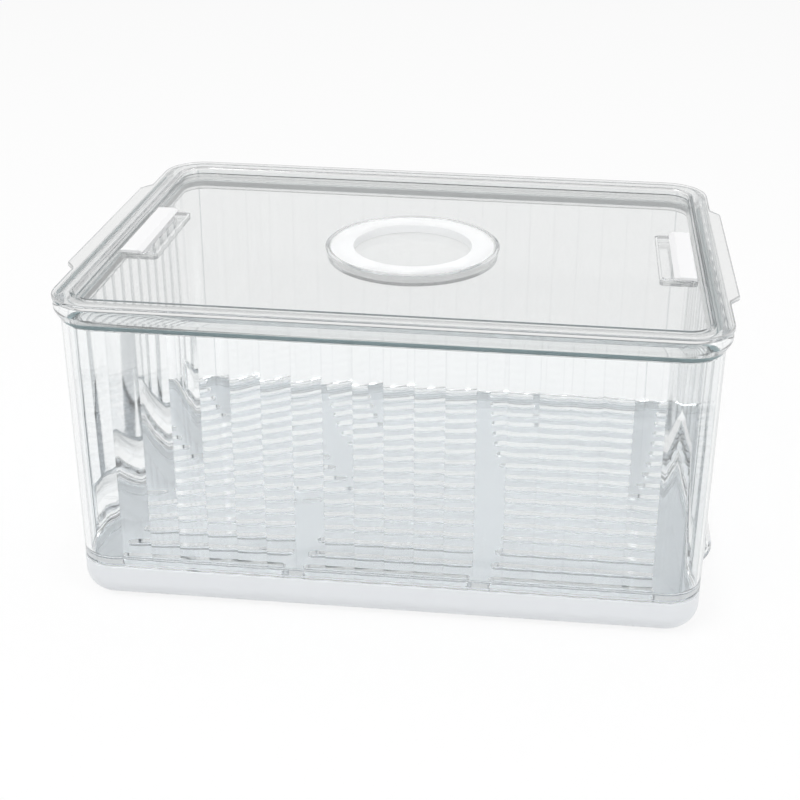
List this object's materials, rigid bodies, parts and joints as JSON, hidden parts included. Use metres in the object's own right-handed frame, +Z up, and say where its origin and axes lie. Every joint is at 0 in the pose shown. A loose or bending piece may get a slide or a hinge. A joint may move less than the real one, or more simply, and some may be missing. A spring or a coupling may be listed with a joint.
{
  "type": "produce keeper",
  "caption": "Clear fluted food bin with a slotted floor on a white drip tray, closed by a clear tabbed lid with sliding vent shutters and a round dial.",
  "frame": {"origin": "On the ground under the centre of the keeper, at the middle of its footprint", "axes": "+Z up, X along the long side, the front towards -Y; the keeper mirrors across the XZ and YZ planes"},
  "size_m": [0.3094, 0.215, 0.152],
  "materials": {
    "tray_white": "smooth satin white, faintly blue",
    "clear_bin": "clear rigid plastic, glossy",
    "clear_lid": "clear rigid plastic, glossy",
    "seal_blue_grey": "soft translucent blue-grey seal",
    "white_trim": "smooth white"
  },
  "bodies": {
    "tray": {"drip_tray": "tray_white"},
    "bin": {"bin": "clear_bin"},
    "lid": {"lid": "clear_lid", "lid_seal": "seal_blue_grey"},
    "dial": {"dial_cap": "clear_lid", "dial_ring": "white_trim"},
    "left_shutter": {"slider_left": "white_trim"},
    "right_shutter": {"slider_right": "white_trim"}
  },
  "joints": [
    {"name": "bin_lift", "type": "slide", "parent": "tray", "child": "bin", "axis": [0, 0, 1], "range_m": [0, 0.03]},
    {"name": "lid_lift", "type": "slide", "parent": "bin", "child": "lid", "axis": [0, 0, 1], "range_m": [0, 0.04]},
    {"name": "dial_turn", "type": "hinge", "parent": "lid", "child": "dial", "pos_m": [0, 0, 0.145], "axis": [0, 0, 1], "continuous": true},
    {"name": "left_vent", "type": "slide", "parent": "lid", "child": "left_shutter", "axis": [1, 0, 0], "range_m": [0, 0.006]},
    {"name": "right_vent", "type": "slide", "parent": "lid", "child": "right_shutter", "axis": [-1, 0, 0], "range_m": [0, 0.006]}
  ]
}
